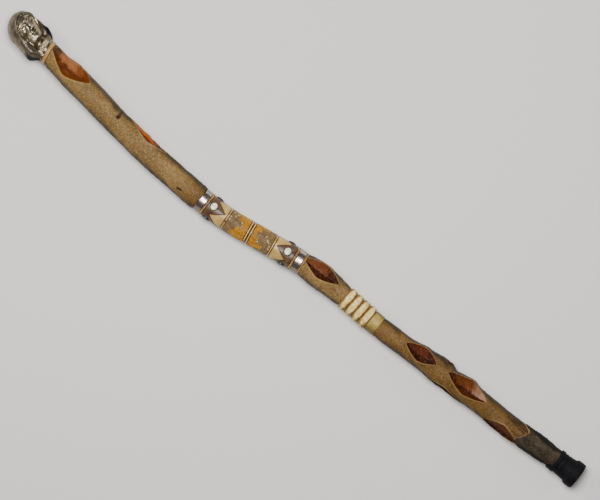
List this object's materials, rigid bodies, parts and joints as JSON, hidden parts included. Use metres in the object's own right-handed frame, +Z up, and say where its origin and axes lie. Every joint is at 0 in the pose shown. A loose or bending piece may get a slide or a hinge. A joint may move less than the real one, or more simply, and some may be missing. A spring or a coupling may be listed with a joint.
{
  "type": "talking stick",
  "caption": "Peeled diamond willow stick with a cast head, a horn, bone and beadwork grip, rough bone discs and a rubber tip, lying on its side.",
  "frame": {"origin": "middle of the box round the stick in plan, on the ground that it lies on", "axes": "+X along the stick from the head to the rubber tip, +Z up from the ground, +Y to the side away from the bow"},
  "size_m": [0.912, 0.065, 0.0442],
  "materials": {
    "antiqued_silver": "cast silver-coloured metal, darkened in the hollows and rubbed bright on the high places",
    "pale_wood": "smooth and waxed",
    "willow": "peeled willow, worn satin, with bark left on near the tip",
    "silver": "polished",
    "gold_beads": "small round beads",
    "horn": "dark streaked horn, satin",
    "bone": "smooth cream bone",
    "shell": "polished pale shell",
    "ring_bone": "turned ring, with dark grooves",
    "seed_beads": "glass seed beads in a stepped pattern of amber and grey",
    "rough_bone": "rough-cut bone",
    "black_rubber": "matte moulded rubber"
  },
  "bodies": {
    "root": {"head": "antiqued_silver", "neck_ring": "pale_wood", "shaft": "willow", "upper_silver_band": "silver", "upper_beaded_ring": "gold_beads", "upper_horn_crown": "horn", "upper_bone_crown": "bone", "upper_dot_1": "shell", "upper_dot_2": "shell", "upper_dot_3": "shell", "upper_dot_4": "shell", "upper_divider_ring": "ring_bone", "upper_beadwork": "seed_beads", "centre_ring_1": "ring_bone", "centre_ring_2": "ring_bone", "lower_beadwork": "seed_beads", "lower_divider_ring": "ring_bone", "lower_bone_crown": "bone", "lower_horn_crown": "horn", "lower_dot_1": "shell", "lower_dot_2": "shell", "lower_dot_3": "shell", "lower_dot_4": "shell", "lower_beaded_ring": "gold_beads", "lower_silver_band": "silver", "shaft_ring": "pale_wood", "bone_disc_1": "rough_bone", "bone_disc_2": "rough_bone", "bone_disc_3": "rough_bone", "bone_disc_4": "rough_bone", "bone_collar": "rough_bone", "rubber_tip": "black_rubber"}
  },
  "joints": []
}
